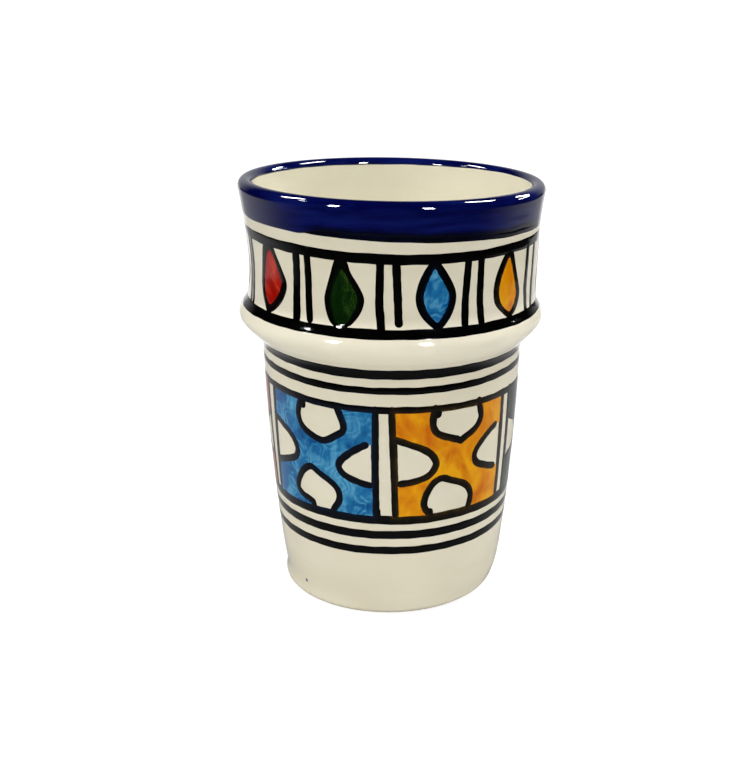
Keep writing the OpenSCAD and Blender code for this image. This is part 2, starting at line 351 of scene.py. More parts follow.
def mark(azimuth, z, lift):
    """Closed sections of a painted mark: crowned above, and sunk into the glaze below."""
    azimuth = np.broadcast_to(azimuth, z.shape)
    upper = on_wall(azimuth, z, np.broadcast_to(lift * crown(ACROSS) - EDGE_SUNK, z.shape))
    lower = on_wall(azimuth[:, UNDERSIDE], z[:, UNDERSIDE], -SUNK)
    return np.concatenate([upper, lower], 1)


def band(low, high, lift):
    """Points and faces of a painted line round the cup, between the heights of its two edges."""
    z = low[:, None] + (high - low)[:, None] * (ACROSS + 1) / 2
    return loft(mark(AZIMUTHS[:, None], z, lift), closed=True)


def line_tint(near, tones):
    """Colour that a wash lends to each section of a line; near is 1 at the wash's side, -1 away from it."""
    share = np.clip(0.15 + 0.5 * near + 0.6 * np.clip(near, 0, 1) ** 3, 0.1, 1.25)
    share = np.concatenate([share, [0] * len(UNDERSIDE)])
    return (tones[:, None] * share[:, None]).reshape(-1, 3)


def soft(t):
    """A soft step from 0 to 1."""
    t = np.clip(t, 0, 1)
    return t * t * (3 - 2 * t)


def wander(seed, at, waves):
    """A seeded, smooth unevenness of about unit size; waves are the waves per turn of the argument."""
    dice = random.Random(seed)
    total = np.zeros_like(np.asarray(at, float))
    for wave in waves:
        total = total + dice.uniform(0.5, 1) * np.sin(wave * at + dice.uniform(0, TURN))
    return total / math.sqrt(len(waves))


def brush_path(points, gap=BRUSH_GAP):
    """Evenly spaced places along a smooth line through the points."""
    p = np.asarray(points, float)
    ends = np.vstack([2 * p[0] - p[1], p, 2 * p[-1] - p[-2]])
    t = np.linspace(0, 1, 12, endpoint=False)[:, None]
    fine = []
    for a, b, c, d in zip(ends, ends[1:], ends[2:], ends[3:]):
        fine.append(0.5 * (2 * b + (c - a) * t + (2 * a - 5 * b + 4 * c - d) * t ** 2
                           + (3 * b - a - 3 * c + d) * t ** 3))
    fine = np.vstack(fine + [p[-1:]])
    run = np.concatenate([[0], np.cumsum(np.hypot(*np.diff(fine, axis=0).T))])
    at = np.linspace(0, run[-1], max(4, round(run[-1] / gap)))
    return np.column_stack([np.interp(at, run, fine[:, 0]), np.interp(at, run, fine[:, 1])])


def closed_path(points, count):
    """Evenly spaced places round a smooth closed line through the points."""
    p = np.asarray(points, float)
    line = brush_path(np.vstack([p[-2:], p, p[:2]]), 0.1)
    first = np.argmin(np.hypot(*(line - p[0]).T)[: len(line) // 2])
    last = len(line) // 2 + np.argmin(np.hypot(*(line - p[0]).T)[len(line) // 2:])
    at = np.linspace(first, last, count, endpoint=False)
    rows = np.arange(len(line))
    return np.column_stack([np.interp(at, rows, line[:, 0]), np.interp(at, rows, line[:, 1])])


def stroke(points, width, seed, reference, lift, tint=NO_TINT, wash_side=0):
    """A brush stroke with round ends along the points, painted on the outside; a wash tints one side."""
    line = brush_path(points)
    along = np.gradient(line, axis=0)
    along /= np.hypot(*along.T)[:, None]
    run = np.arange(len(line)) * BRUSH_GAP
    wide = width * (1 + STROKE_WAVER * wander(seed, run, (0.35, 0.8, 1.9)))
    bend = np.radians(ROUND_END)
    head = line[0] - along[0] * (wide[0] / 2 * np.sin(bend))[:, None]
    tail = line[-1] + along[-1] * (wide[-1] / 2 * np.sin(bend[::-1]))[:, None]
    path = np.vstack([head, line, tail])
    ends = (len(bend), 1)
    along = np.vstack([np.tile(along[0], ends), along, np.tile(along[-1], ends)])
    wide = np.concatenate([wide[0] * np.cos(bend), wide, wide[-1] * np.cos(bend[::-1])])
    aside = np.column_stack([-along[:, 1], along[:, 0]])
    flat = path[:, None] + aside[:, None] * (wide[:, None] / 2 * ACROSS)[..., None]
    sections = mark(flat[..., 0] / reference, flat[..., 1], lift)
    tones = np.tile(tint, (len(path), 1))
    return (*loft(sections, closed=False), line_tint(wash_side * ACROSS, tones))


def inside_loop(places, loop):
    """Whether each place lies inside a closed loop."""
    x, y = places[:, 0:1], places[:, 1:2]
    x1, y1 = loop[:, 0], loop[:, 1]
    x2, y2 = np.roll(x1, -1), np.roll(y1, -1)
    rise = np.where(y2 == y1, 1e-12, y2 - y1)
    crossed = ((y1 > y) != (y2 > y)) & (x < (x2 - x1) * (y - y1) / rise + x1)
    return crossed.sum(1) % 2 == 1


def wash(outline, cuts, reference, lift, gap=1.1):
    """A thin coat of colour over an outline, less the cuts, as a closed sheet on the outside."""
    loops = [np.asarray(outline)] + [np.asarray(c) for c in cuts]
    low, high = loops[0].min(0), loops[0].max(0)
    xs = np.arange(low[0] + gap / 2, high[0], gap)
    ys = np.arange(low[1] + gap / 2, high[1], gap)
    grid = np.stack(np.meshgrid(xs, ys), -1).reshape(-1, 2)

    def covered(places):
        keep = inside_loop(places, loops[0])
        for cut in loops[1:]:
            keep &= ~inside_loop(places, cut)
        return keep
    grid = grid[covered(grid)]
    edges = []
    start = 0
    for loop in loops:
        count = len(loop)
        edges += [(start + i, start + (i + 1) % count) for i in range(count)]
        start += count
    flat = np.vstack(loops + [grid])
    found = delaunay_2d_cdt([Vector(p) for p in flat], edges, [], 0, 1e-5)
    flat = np.array([tuple(p) for p in found[0]])
    faces = np.array(found[2])
    faces = faces[covered(flat[faces].mean(1))]
    used, faces = np.unique(faces, return_inverse=True)
    faces = faces.reshape(-1, 3)
    flat = flat[used]
    count = len(flat)
    sides = {}
    for a, b, c in faces.tolist():
        for edge in ((a, b), (b, c), (c, a)):
            if (edge[1], edge[0]) in sides:
                del sides[(edge[1], edge[0])]
            else:
                sides[edge] = True
    rim = np.zeros(count, bool)
    rim[list({i for edge in sides for i in edge})] = True
    upper = on_wall(flat[:, 0] / reference, flat[:, 1], np.where(rim, 0.3 * lift, lift))
    lower = on_wall(flat[:, 0] / reference, flat[:, 1], -SUNK)
    shell = faces.tolist() + [[c + count, b + count, a + count] for a, b, c in faces.tolist()]
    shell += [[b, a, a + count, b + count] for a, b in sides]
    return np.vstack([upper, lower]), shell


# Materials

def new_finish(name, **shader):
    """A material, its node tree and its shader, with constant sockets set."""
    finish = bpy.data.materials.new(name)
    finish.use_nodes = True
    tree = finish.node_tree
    gloss = tree.nodes["Principled BSDF"]
    for socket, value in shader.items():
        gloss.inputs[socket.replace("_", " ")].default_value = value
    return finish, tree, gloss


def plug(tree, socket, value):
    """Set a socket to a value, or link it where an output is given."""
    if isinstance(value, bpy.types.NodeSocket):
        tree.links.new(value, socket)
    else:
        socket.default_value = value


def add(tree, kind, settings_of=None, **sockets):
    """A node with its settings, and its sockets set or linked."""
    made = tree.nodes.new("ShaderNode" + kind)
    for key, value in (settings_of or {}).items():
        setattr(made, key, value)
    for key, value in sockets.items():
        plug(tree, made.inputs[key.replace("_", " ")], value)
    return made


def grain(tree, scale, detail=3.0, stretch=(1, 1, 1), twist=0.0, start=0.0):
    """Noise over the object's own place, from 0 to 1; scale is in cells per metre and start in metres."""
    where = add(tree, "TexCoord").outputs["Object"]
    sized = add(tree, "Mapping", Vector=where, Scale=stretch, Location=(start, start, start))
    made = add(tree, "TexNoise", Vector=sized.outputs["Vector"], Scale=scale, Detail=detail,
               Roughness=0.55, Distortion=twist)
    return made.outputs["Fac"]


def ramp(tree, amount, *stops):
    """Colours along an amount, each stop a place and a colour."""
    made = add(tree, "ValToRGB", Fac=amount)
    band = made.color_ramp.elements
    while len(band) < len(stops):
        band.new(0.5)
    for spot, (at, tone) in zip(band, stops):
        spot.position = at
        spot.color = tone
    return made.outputs["Color"]


def blend_in(tree, amount, under, over, how="MIX"):
    """Two colours mixed by an amount."""
    made = add(tree, "Mix", {"data_type": "RGBA", "blend_type": how})
    for index, value in ((0, amount), (6, under), (7, over)):
        plug(tree, made.inputs[index], value)
    return made.outputs[2]


def sum_up(tree, how, first, second=0.0):
    """A math node's result."""
    made = add(tree, "Math", {"operation": how})
    plug(tree, made.inputs[0], first)
    plug(tree, made.inputs[1], second)
    return made.outputs["Value"]


def span(tree, amount, low, high):
    """An amount from 0 to 1 spread between two values."""
    return add(tree, "MapRange", Value=amount, To_Min=low, To_Max=high).outputs["Result"]


def ease(tree, amount, run, low=0.0, high=1.0):
    """A soft step from a low to a high value over a run of the amount."""
    return add(tree, "MapRange", {"interpolation_type": "SMOOTHSTEP"}, Value=amount,
               From_Min=run[0], From_Max=run[1], To_Min=low, To_Max=high).outputs["Result"]


def either(tree, chance, first, second):
    """The first shader, or the second where the chance is 1."""
    made = add(tree, "MixShader", Fac=chance)
    plug(tree, made.inputs[1], first.outputs[0])
    plug(tree, made.inputs[2], second.outputs[0])
    return made


def dress(tree, gloss, base, rough, bump, depth, strength):
    """Colour, roughness and bump of a shader."""
    dent = add(tree, "Bump", Height=bump, Distance=depth * MM, Strength=strength)
    plug(tree, gloss.inputs["Base Color"], base)
    plug(tree, gloss.inputs["Roughness"], rough)
    plug(tree, gloss.inputs["Normal"], dent.outputs["Normal"])


def shade(tone, factor):
    return (*[min(1.0, c * factor) for c in tone[:3]], 1.0)


def spread_out(tree, amount, low=0.34, high=0.66):
    """Noise stretched to the full run from 0 to 1."""
    return add(tree, "MapRange", Value=amount, From_Min=low, From_Max=high).outputs["Result"]


# One stray fleck of blue on the lower wall: azimuth in degrees, height and radius
FLECK = (-50.8, 5.0, 0.7)
FLECK_TONE = linear(46, 50, 92)
SPECK_TONE = linear(112, 92, 66)


def ivory_finish(name, inside=False):
    """Cream glaze with faint cloudy patches, painted paler on the belt as a painted sheen for the light it
    catches, and a few iron specks.
    """
    _, paint, _ = settings()
    finish, tree, gloss = new_finish(name, IOR=1.5)
    # Inside, a paler copy of the glaze is painted as painted light
    clear = tuple(paint.ivory_inside if inside else paint.ivory)
    cloudy = shade(clear, 0.93) if inside else tuple(paint.ivory_shade)
    cloud = sum_up(tree, "ADD", grain(tree, 38, 4), grain(tree, 26, 3, (1, 1, 5)))
    base = ramp(tree, sum_up(tree, "MULTIPLY", cloud, 0.5), (0.34, cloudy), (0.62, clear))
    where = add(tree, "TexCoord").outputs["Object"]
    level = add(tree, "SeparateXYZ", Vector=where).outputs["Z"]
    # Painted sheen: the belt is painted paler than the walls, standing in for the light it catches
    rise = ease(tree, level, ((form.belt_low - 1) * MM, (form.belt_low + 4) * MM))
    fall = ease(tree, level, (form.belt_top * MM, (form.belt_top + 3) * MM))
    base = blend_in(tree, sum_up(tree, "SUBTRACT", rise, fall), base, tuple(paint.ivory_belt_lit))
    cells = add(tree, "TexVoronoi", Vector=where, Scale=95.0)
    near = ease(tree, cells.outputs["Distance"], (0.012, 0.034), 1.0, 0.0)
    chance = add(tree, "SeparateColor", Color=cells.outputs["Color"]).outputs["Red"]
    picked = sum_up(tree, "MULTIPLY", near, sum_up(tree, "GREATER_THAN", chance, 0.9))
    base = blend_in(tree, sum_up(tree, "MULTIPLY", picked, 0.5), base, SPECK_TONE)
    turn, z, size = FLECK
    gap = add(tree, "VectorMath", {"operation": "DISTANCE"})
    plug(tree, gap.inputs[0], where)
    plug(tree, gap.inputs[1], on_wall(math.radians(turn), z, 0.0).tolist())
    dot = add(tree, "MapRange", Value=gap.outputs["Value"], From_Min=0.6 * size * MM, From_Max=size * MM,
              To_Min=0.85, To_Max=0.0).outputs["Result"]
    base = blend_in(tree, dot, base, FLECK_TONE)
    bump = sum_up(tree, "ADD", grain(tree, 120, 2), grain(tree, 40, 2, (1, 1, 4)))
    dress(tree, gloss, base, span(tree, grain(tree, 90, 2), 0.05, 0.11), bump, 0.16, 0.3)
    return finish


def ivory_inside_finish(name):
    """The same glaze as it lies inside, painted paler than the outside to stand in for the light inside the
    cup.
    """
    return ivory_finish(name, inside=True)


def cobalt_finish(name):
    """Deep blue gloss coat, streaked round the lip and darker where it thins over the black line."""
    _, paint, _ = settings()
    finish, tree, gloss = new_finish(name, IOR=1.5)
    tone = tuple(paint.cobalt)
    streak = spread_out(tree, grain(tree, 40, 4, (1, 1, 6), 0.6))
    base = ramp(tree, streak, (0.0, shade(tone, 0.8)), (0.45, tone), (1.0, linear(11, 21, 86)))
    over = add(tree, "VertexColor", {"layer_name": "tint"}).outputs["Color"]
    depth = add(tree, "SeparateColor", Color=over).outputs["Red"]
    base = blend_in(tree, depth, base, linear(4, 6, 18))
    dress(tree, gloss, base, span(tree, grain(tree, 120, 2), 0.02, 0.05), grain(tree, 60, 2), 0.03, 0.1)
    return finish


def black_finish(name):
    """Black underglaze line, warmed or cooled where a wash runs over it."""
    _, paint, _ = settings()
    finish, tree, gloss = new_finish(name, IOR=1.48)
    tone = tuple(paint.black)
    dry = spread_out(tree, grain(tree, 300, 4))
    base = ramp(tree, dry, (0.0, shade(tone, 0.6)), (0.6, tone), (1.0, shade(tone, 1.8)))
    over = add(tree, "VertexColor", {"layer_name": "tint"}).outputs["Color"]
    patchy = span(tree, spread_out(tree, grain(tree, 240, 3, (1, 1, 1), 0.8)), 0.15, 1.0)
    base = blend_in(tree, patchy, base, over, "ADD")
    dress(tree, gloss, base, span(tree, grain(tree, 200, 2), 0.04, 0.09), grain(tree, 260, 3), 0.05, 0.2)
    return finish


# Washes: how deep and pale they run, how the brush scrubbed, and where in metres their pattern starts
WASHES = {
    "red": {"deep": (138, 5, 0), "pale": (186, 50, 26), "cell": 115, "rings": 0.1, "hairs": 0.12,
            "broad": 0.7, "start": 0.0},
    "green": {"deep": (2, 22, 2), "pale": (38, 66, 16), "cell": 150, "rings": 0.1, "hairs": 0.16,
              "broad": 0.55, "start": 0.0},
    "blue": {"deep": (3, 66, 126), "pale": (86, 158, 194), "cell": 140, "rings": 0.42, "hairs": 0.16,
             "broad": 0.5, "start": 0.037},
    "yellow": {"deep": (196, 100, 0), "pale": (226, 160, 8), "cell": 105, "rings": 0.08, "hairs": 0.07,
               "broad": 0.7, "start": 0.0},
}


def wash_finish(name, tone):
    """Thin wash, scrubbed on in overlapping dabs with bristle lines and pools of colour."""
    load = WASHES[name]
    finish, tree, gloss = new_finish(name + "_wash", IOR=1.48)
    start = load["start"]
    where = add(tree, "TexCoord").outputs["Object"]
    where = add(tree, "Mapping", Vector=where, Location=(start, start, start)).outputs["Vector"]
    warp = add(tree, "TexNoise", Vector=where, Scale=160.0, Detail=2.0).outputs["Color"]
    push = add(tree, "VectorMath", {"operation": "MULTIPLY_ADD"})
    for socket, value in zip(push.inputs, (warp, (0.006, 0.006, 0.006), where)):
        plug(tree, socket, value)
    dabs = add(tree, "TexVoronoi", {"feature": "SMOOTH_F1"}, Vector=push.outputs["Vector"],
               Scale=float(load["cell"]), Smoothness=0.25)
    turns = sum_up(tree, "SINE", sum_up(tree, "MULTIPLY", dabs.outputs["Distance"], 34.0))
    loose = spread_out(tree, grain(tree, 210, 3, start=start))
    scrub = sum_up(tree, "MULTIPLY", turns, sum_up(tree, "MULTIPLY", loose, 0.5))
    tones = add(tree, "SeparateColor", Color=dabs.outputs["Color"]).outputs["Red"]
    broad = spread_out(tree, grain(tree, 120, 5, (1, 1, 0.8), 1.2, start))
    hairs = spread_out(tree, grain(tree, 620, 4, (1, 1, 0.22), 0.6, start))
    rest = 1 - load["broad"] - load["hairs"]
    amount = sum_up(tree, "MULTIPLY", broad, load["broad"])
    for layer, share in ((hairs, load["hairs"]), (scrub, load["rings"]), (tones, rest)):
        amount = sum_up(tree, "ADD", amount, sum_up(tree, "MULTIPLY", layer, share))
    base = ramp(tree, amount, (0.12, linear(*load["deep"])), (0.5, tone), (0.9, linear(*load["pale"])))
    dress(tree, gloss, base, span(tree, grain(tree, 150, 2), 0.06, 0.13), hairs, 0.03, 0.25)
    return finish


def bisque_finish(name):
    """Bare fired clay of the foot, sandy and dry."""
    _, paint, _ = settings()
    finish, tree, gloss = new_finish(name, IOR=1.45, Specular_IOR_Level=0.25)
    tone = tuple(paint.bisque)
    sand = grain(tree, 900, 5)
    base = ramp(tree, sand, (0.32, shade(tone, 0.6)), (0.5, tone), (0.72, shade(tone, 1.18)))
    dress(tree, gloss, base, span(tree, sand, 0.7, 0.95), sand, 0.2, 0.5)
    return finish


def paint_finish(name):
    """The wash of a colour name, made once."""
    _, paint, _ = settings()
    return bpy.data.materials.get(name + "_wash") or wash_finish(name, tuple(getattr(paint, name)))


def finish_of(slot):
    """The shared material of a slot, made once."""
    makers = {"ivory_glaze": ivory_finish, "ivory_inside": ivory_inside_finish, "cobalt": cobalt_finish,
              "black_line": black_finish, "bisque": bisque_finish}
    name = slot + "_look"
    return bpy.data.materials.get(name) or makers[slot](name)


# Brush work as read off, in millimetres

# Lobe strokes of the two panels that face the camera: x from the panel's middle, y above its base line
LOBES_A = (
    ((-4.2, 31.2), (-4.8, 29.9), (-5.4, 28.2), (-5.6, 26.4), (-4.8, 24.1), (-3.0, 22.4), (0.0, 21.1),
     (2.5, 20.6), (4.5, 21.2), (6.8, 22.7), (8.8, 24.2), (9.2, 26.1), (8.5, 28.4), (7.7, 30.4),
     (7.4, 31.3)),
    ((-17.5, 22.8), (-15.3, 22.3), (-12.5, 21.2), (-10.0, 20.1), (-8.0, 18.4), (-6.9, 16.5),
     (-6.8, 14.9), (-7.8, 13.2), (-10.0, 12.0), (-13.0, 10.9), (-16.0, 9.8), (-17.8, 9.3)),
    ((14.8, 21.1), (12.5, 19.7), (10.0, 17.9), (7.8, 15.7), (7.2, 13.9), (8.1, 12.1), (10.0, 10.9),
     (12.5, 10.0), (14.5, 9.4), (15.8, 9.2)),
    ((-2.2, 1.1), (-4.0, 1.7), (-6.0, 2.2), (-7.6, 3.5), (-7.8, 5.1), (-6.9, 7.4), (-5.2, 9.9),
     (-3.3, 11.5), (-1.6, 12.0), (0.0, 11.2), (2.2, 10.1), (4.5, 8.9), (6.4, 7.3), (7.2, 5.1),
     (6.8, 2.9), (5.6, 1.1), (5.0, -0.1)),
)
LOBES_B = (
    ((-6.5, 31.2), (-6.9, 29.8), (-7.1, 28.2), (-7.0, 26.2), (-6.1, 24.4), (-4.4, 23.2), (-1.9, 22.2),
     (0.4, 21.3), (1.3, 21.0), (3.1, 21.9), (5.4, 23.1), (7.1, 24.7), (7.9, 26.7), (7.6, 28.7),
     (7.1, 30.4), (6.8, 31.4)),
    ((-17.3, 23.1), (-15.4, 22.4), (-12.9, 21.4), (-9.9, 20.1), (-7.6, 18.6), (-6.2, 16.8),
     (-5.7, 15.1), (-6.5, 13.1), (-8.1, 11.6), (-10.4, 10.7), (-12.9, 10.1), (-15.3, 9.8)),
    ((13.9, 22.5), (11.6, 21.4), (9.1, 19.6), (7.1, 17.6), (6.2, 15.7), (6.5, 13.9), (7.9, 12.5),
     (10.1, 11.5), (12.6, 10.5), (14.6, 9.9)),
    ((-7.5, 0.3), (-8.5, 1.7), (-9.0, 3.4), (-8.6, 5.7), (-7.4, 8.2), (-5.7, 10.1), (-3.6, 10.7),
     (-1.4, 9.8), (1.1, 8.8), (3.4, 7.6), (5.1, 5.8), (5.9, 3.7), (5.8, 1.9), (5.4, 0.1)),
)
# Short second touches of the brush in the same two panels
TOUCHES_A = (((-3.5, 31.0), (-3.6, 29.7)), ((-1.9, 0.4), (-2.6, 1.0)))
TOUCHES_B = (((-5.4, 31.2), (-5.7, 29.5)), ((0.0, 21.7), (1.2, 20.8)), ((-7.0, -0.2), (-7.2, 0.9)))
# Shifts of the uprights at their top and bottom, for the strips that the camera sees
UPRIGHT_SHIFTS = {(0, -1): (0.2, 0.1), (0, 1): (-0.1, 1.0), (1, -1): (0.1, 0.7), (1, 1): (-0.4, 0.2),
                  (5, 1): (0.5, -1.0)}
# Outer edge and heart of the four drops that face the camera: x from the middle, y above the belt line
DROP_SHAPES = {
    0: (((-0.2, 18.6), (-2.6, 18.2), (-4.2, 13.9), (-5.1, 8.4), (-4.9, 5.4), (-3.5, 2.2), (-1.1, -0.4),
         (2.3, 1.2), (5.1, 4.0), (6.6, 7.0), (6.7, 9.2), (5.4, 11.9), (3.4, 15.4), (2.0, 18.0)),
        ((0.2, 16.5), (-1.2, 14.9), (-2.6, 10.9), (-3.0, 7.4), (-2.5, 4.4), (-0.9, 2.4), (0.8, 3.0),
         (3.0, 5.4), (4.3, 8.0), (4.3, 9.6), (3.0, 12.4), (1.3, 15.7))),
    1: (((0.0, 18.4), (-1.6, 17.2), (-2.9, 13.4), (-4.1, 9.6), (-4.7, 6.9), (-4.3, 3.9), (-3.1, 1.0),
         (-0.6, -0.5), (2.3, 0.4), (4.6, 3.0), (5.8, 5.5), (6.0, 8.0), (4.7, 10.9), (2.7, 14.2),
         (1.7, 17.2)),
        ((0.1, 14.4), (-1.0, 12.4), (-2.4, 8.9), (-2.7, 6.4), (-2.2, 3.4), (-1.6, 1.3), (0.0, 0.6),
         (1.6, 1.4), (3.0, 3.9), (4.0, 6.2), (4.0, 8.2), (2.7, 10.7), (1.0, 13.7))),
    2: (((-0.3, 18.4), (-2.0, 16.8), (-3.9, 13.4), (-4.9, 10.4), (-5.2, 7.7), (-4.6, 4.9), (-2.8, 2.0),
         (0.6, -0.6), (3.3, 1.6), (5.0, 5.0), (5.5, 7.9), (5.0, 10.4), (3.5, 13.4), (1.4, 16.6)),
        ((-0.3, 15.2), (-1.4, 13.2), (-2.5, 10.4), (-2.9, 7.9), (-2.2, 5.0), (-0.9, 3.0), (0.5, 1.8),
         (1.9, 3.6), (3.1, 6.2), (3.3, 8.7), (2.2, 11.0), (0.6, 13.7))),
    3: (((-0.3, 18.6), (-2.7, 17.0), (-4.8, 13.4), (-5.9, 10.4), (-6.2, 7.4), (-5.5, 4.4), (-3.2, 2.0),
         (0.2, -0.3), (3.4, 1.3), (4.8, 4.0), (5.0, 6.4), (3.8, 9.9), (2.5, 13.4), (1.3, 17.2)),
        ((-0.6, 15.9), (-1.9, 13.9), (-3.3, 10.7), (-3.9, 7.4), (-3.1, 4.4), (-1.4, 2.6), (0.5, 1.6),
         (2.0, 3.0), (2.9, 5.6), (2.4, 8.2), (1.3, 11.4), (0.0, 15.0))),
}
# How far the hand set those drops and the two beside them off their even spacing
DROP_SHIFTS = {0: -1.1, 1: -0.4, 2: 0.7, 3: 0.8, 4: 1.8, 10: -1.6}
# Bars between drops: x at top, middle and bottom from halfway, and the lower end above the belt line
BAR_SHAPES = {
    0: ((-1.1, -1.5, -1.4, -0.6), (2.4, 2.5, 2.9, 0.9)),
    1: ((-1.9, -2.2, -1.7, -0.6), (2.0, 2.5, 2.7, 1.6)),
    2: ((-2.8, -3.5, -3.5, 0.4), (1.0, 0.9, 1.6, 0.2)),
    3: ((-2.9, -3.7, -2.6, -0.6), (2.1, 1.2, 1.6, -0.6)),
    10: ((-2.1, -2.2, -2.1, -0.6), (0.4, 0.2, 0.5, -0.6)),
}
# Bars that the brush laid wider: gap and place in the pair, and how much wider
WIDE_BARS = {(0, 0): 0.4}
# Which side of the four lobe strokes the wash lies on, seen along the stroke: 1 left, -1 right
WASH_SIDES = (-1, 1, -1, 1)
# Painted lines: shift, tilt, sideways rise, how much wider the brush ran, and seed
BANDS = {
    "collar_line": (-0.3, -0.25, 1.2, 0.15, 11),
    "belt_line": (0.0, 0.0, 0.2, 0.1, 12),
    "neck_line_upper": (-0.1, 0.0, 0.75, 0.5, 13),
    "neck_line_lower": (-0.2, 0.05, 0.75, 0.2, 14),
    "frame_line_top": (-0.15, -0.45, 0.5, 0.25, 15),
    "frame_line_base": (0.1, 0.15, 0.0, 0.45, 16),
    "hem_line_upper": (0.0, 0.2, 0.15, 0.4, 17),
    "hem_line_lower": (0.05, 0.4, 0.1, 0.4, 18),
}
# Colour that a wash lends to the black lines it runs over
TINTS = {"yellow": (0.06, 0.032, 0.001), "blue": (0.0, 0.012, 0.045), "green": (0.003, 0.012, 0.001),
         "red": (0.03, 0.002, 0.001)}
LIP_TINT = (0.0005, 0.0015, 0.012)


# Foot: width of the slope into its hollow, worn width and height of the ring's inner edge, and outer radius
FOOT_SLOPE = 1.2
RING_WEAR = (0.3, 0.12)
FOOT_ROUND = 2.0
# How far the glaze thins towards its edge at the foot, as shares of its thickness
GLAZE_EDGE = (0.8, 0.3, 0.1)
# How far below and above the belt the coats take finer steps
BELT_BELOW = 6
BELT_ABOVE = 4
# Lower edge of the lip's dark band: rise, tilt and waver
DARK_RISE = 0.12
DARK_TILT = 1.05
DARK_WAVER = 0.12
# Black line left bare under the cobalt: share and waver, and where it starts and ends with the run of each
BARE_SHARE = 0.55
BARE_WAVER = 0.07
BARE_START = (-36, 12)
BARE_END = (-108, 14)
# Inner end of the cobalt, as angles round the lip: short of half a turn, tilt, reach at the back and waver
INNER_SHORT = 0.32
INNER_TILT = 0.14
INNER_BACK = 0.26
INNER_WAVER = 0.04
# Runs over which the cobalt thickens from its lower and inner edges
LOWER_RUN = 0.3
INNER_RUN = 0.25
# How far up the black line darkens the cobalt, and the run over which that fades
DARK_REACH = 2.2
DARK_FADE = 1.9
# Waver of a painted line's edges and of its level
EDGE_WAVER = 0.09
LEVEL_WAVER = 0.06


def coat_rings(section, lifts):
    """Sections all round the cup from functions of azimuth, one point each."""
    return np.stack([point(AZIMUTHS, lift) for point, lift in zip(section, lifts)], 1)


def wall_point(z):
    return lambda azimuth, lift: on_wall(azimuth, z, lift)


def inside_point(z):
    return lambda azimuth, lift: on_inside(azimuth, z, lift)


def lip_point(bend):
    return lambda azimuth, lift: on_lip(azimuth, bend, lift)


def plain_point(radius, z):
    return lambda azimuth, lift: place(radius, azimuth, z + lift)


def foot_point(radius, z):
    return lambda azimuth, lift: place(
        radius + unevenness(azimuth, z) * radius / form.foot_out, azimuth, z + lift)


def outside_section(step, belt_step):
    """Points up the outside, from the glaze's edge at the foot to the top of the lip."""
    foot = np.linspace(form.glaze_foot, FOOT_ROUND, 9)[:-1]
    ends = (FOOT_ROUND, form.belt_low - BELT_BELOW, form.belt_top + BELT_ABOVE, form.lip_z)
    runs = [np.linspace(low, high, round((high - low) / gap), endpoint=False)
            for low, high, gap in zip(ends, ends[1:], (step, belt_step, step))]
    wall = np.concatenate([foot, *runs, ends[-1:]])
    lip = np.linspace(0, math.pi / 2, 14)[1:]
    return [wall_point(z) for z in wall] + [lip_point(b) for b in lip]


def inside_section(step):
    """Points from the middle of the floor up the inside to the top of the lip."""
    floor = [plain_point(r, form.floor_z) for r in np.linspace(0, form.floor_r, 12)]
    bends = np.linspace(0, math.pi / 2, 16)[1:-1]
    corner = [plain_point(form.floor_r + form.corner * math.sin(b),
                          form.floor_z + form.corner * (1 - math.cos(b))) for b in bends]
    wall = np.linspace(form.inside_low, form.lip_z, round((form.lip_z - form.inside_low) / step))
    lip = np.linspace(math.pi, math.pi / 2, 14)[1:]
    return floor + corner + [inside_point(z) for z in wall] + [lip_point(b) for b in lip]


class CUP_OT_clay(bpy.types.Operator):
    """Turn the clay body, bare only under the foot"""
    bl_idname = "cup.clay"
    bl_label = "Clay body"

    def execute(self, context):
        cup, _, _ = settings()
        under = [foot_point(r, form.hollow) for r in np.linspace(0, form.foot_in - FOOT_SLOPE, 6)]
        ring = [foot_point(form.foot_in - RING_WEAR[0], RING_WEAR[1]), foot_point(form.foot_in, 0.0),
                foot_point(form.foot_out, 0.0)]
        bare = [foot_point(form.foot_out + FOOT_ROUND * math.sin(b), FOOT_ROUND * (1 - math.cos(b)))
                for b in np.radians((10, 20, 30))]
        foot = under + ring + bare
        glazed = outside_section(step=2.0, belt_step=1.0)[4:] + inside_section(step=2.0)[::-1][1:]
        lifts = [0.0] * len(foot) + [-cup.glaze_t / MM] * len(glazed)
        body = loft(coat_rings(foot + glazed, lifts), closed=True)
        build("clay_body_form", "clay_body", [body], "bisque", weld=True)
        return {"FINISHED"}


class CUP_OT_glaze(bpy.types.Operator):
    """Pour the ivory glaze over the outside and the inside"""
    bl_idname = "cup.glaze"
    bl_label = "Ivory glaze"

    def execute(self, context):
        cup, _, _ = settings()
        thick = cup.glaze_t / MM
        skin = outside_section(step=0.8, belt_step=0.5)
        back = outside_section(step=6.0, belt_step=1.0)[::-1]
        edge = [-share * thick for share in GLAZE_EDGE]
        lifts = edge + [0.0] * (len(skin) - len(edge)) + [-thick] * len(back)
        coat = loft(coat_rings(skin + back, lifts), closed=True)
        build("outer_glaze_coat", "outer_glaze", [coat], "ivory_glaze")
        skin = inside_section(step=1.0)
        back = inside_section(step=2.0)[::-1]
        lifts = [0.0] * len(skin) + [-thick] * len(back)
        coat = loft(coat_rings(skin + back, lifts), closed=True)
        build("inner_glaze_coat", "inner_glaze", [coat], "ivory_glaze", finish_of("ivory_inside"),
              weld=True)
        return {"FINISHED"}


